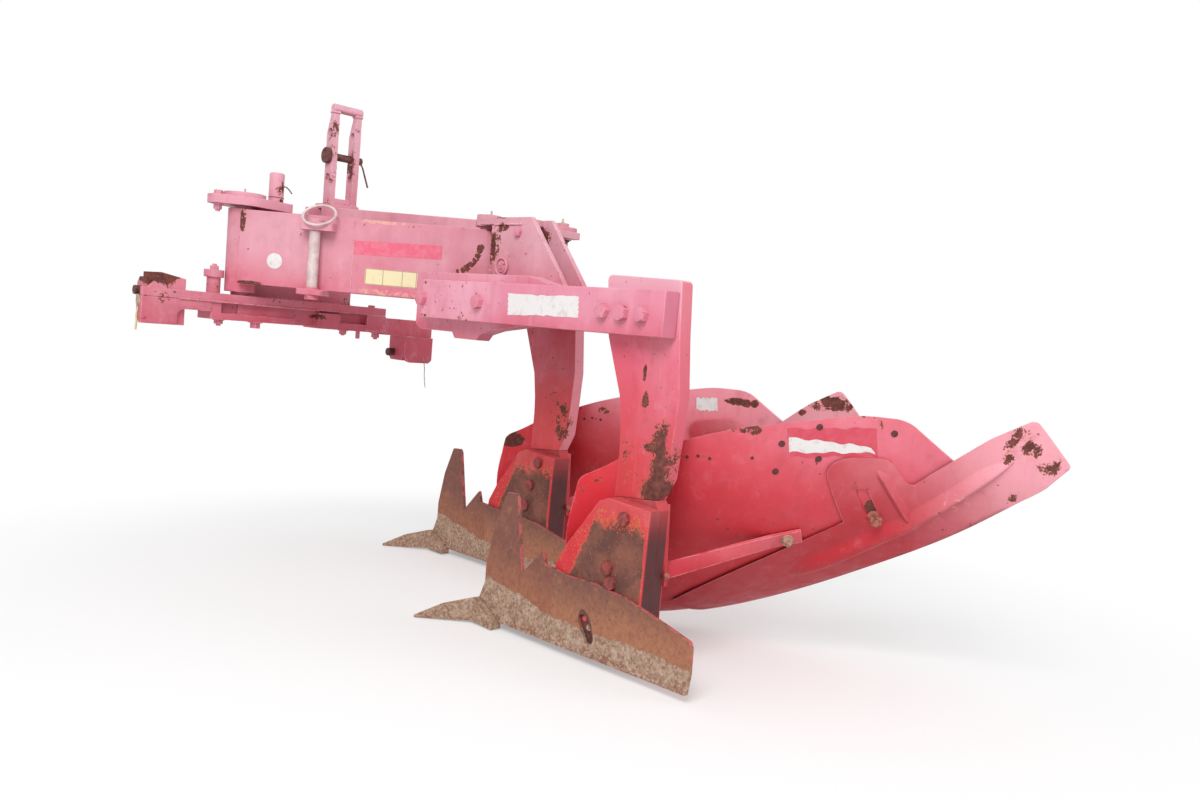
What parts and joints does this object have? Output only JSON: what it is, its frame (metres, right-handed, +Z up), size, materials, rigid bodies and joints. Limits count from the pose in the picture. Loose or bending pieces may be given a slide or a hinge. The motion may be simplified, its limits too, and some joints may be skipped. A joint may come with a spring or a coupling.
{
  "type": "moldboard plough",
  "caption": "Mounted right-turning moldboard plough whose headstock swings sideways on two parallel arms, with curved furrow bodies, landsides and knife fins.",
  "frame": {"origin": "on the floor, in the middle of the box that the plough fills seen from above", "axes": "+Y the direction of travel, +X the furrow side, +Z up"},
  "size_m": [1.6786, 2.4373, 1.5175],
  "materials": {
    "red_paint": "faded, chipped",
    "worn_steel": "worn and rusty",
    "pin_steel": "rusty",
    "rod_grey": "satin"
  },
  "bodies": {
    "frame": {"cheek_far": "red_paint", "cheek_near": "red_paint", "cross_member": "red_paint", "extension_front": "red_paint", "extension_rear": "red_paint", "frog_front": "red_paint", "frog_rear": "red_paint", "inner_beam": "red_paint", "knife_front": "worn_steel", "knife_rear": "worn_steel", "landside_front": "worn_steel", "landside_rear": "worn_steel", "leg_front": "red_paint", "leg_rear": "red_paint", "link_rear_pin": "pin_steel", "main_beam": "red_paint", "moldboard_front": "red_paint", "moldboard_rear": "red_paint", "outrigger": "red_paint", "point_front": "worn_steel", "point_rear": "worn_steel", "rear_bottom_plate": "red_paint", "rear_pin": "pin_steel", "rear_top_plate": "red_paint", "share_front": "worn_steel", "share_rear": "worn_steel", "side_plate": "red_paint", "stay_front": "red_paint", "stay_rear": "red_paint"},
    "arm": {"arm_rod": "rod_grey", "swing_arm": "red_paint"},
    "link": {"second_link": "red_paint"},
    "headstock": {"back_plate": "red_paint", "bracket_left": "red_paint", "bracket_right": "red_paint", "cross_bar": "red_paint", "front_pin": "pin_steel", "front_top_plate": "red_paint", "handle": "red_paint", "link_front_pin": "pin_steel", "link_front_plate": "red_paint", "lower_pin_left": "pin_steel", "lower_pin_right": "pin_steel", "mast_base": "red_paint", "mast_left": "red_paint", "mast_right": "red_paint", "mast_spacer": "red_paint", "post": "red_paint", "right_bar": "red_paint", "stub": "red_paint", "top_pin": "pin_steel", "under_bar": "red_paint"}
  },
  "joints": [
    {"name": "arm_swing", "type": "hinge", "parent": "frame", "child": "arm", "pos_m": [0.0217, 0.5237, 0.99], "axis": [0, 0, 1], "range_deg": [-45, 10]},
    {"name": "headstock_swing", "type": "hinge", "parent": "arm", "child": "headstock", "pos_m": [-0.50525, 1.12563, 0.99], "axis": [0, 0, 1], "range_deg": [-10, 45]},
    {"name": "link_swing", "type": "hinge", "parent": "frame", "child": "link", "pos_m": [0.3397, 0.5237, 1.154], "axis": [0, 0, 1], "range_deg": [-45, 10]}
  ],
  "couplings": [
    {"joint": "headstock_swing", "follows": "arm_swing", "ratio": -1},
    {"joint": "link_swing", "follows": "arm_swing", "ratio": 1}
  ]
}
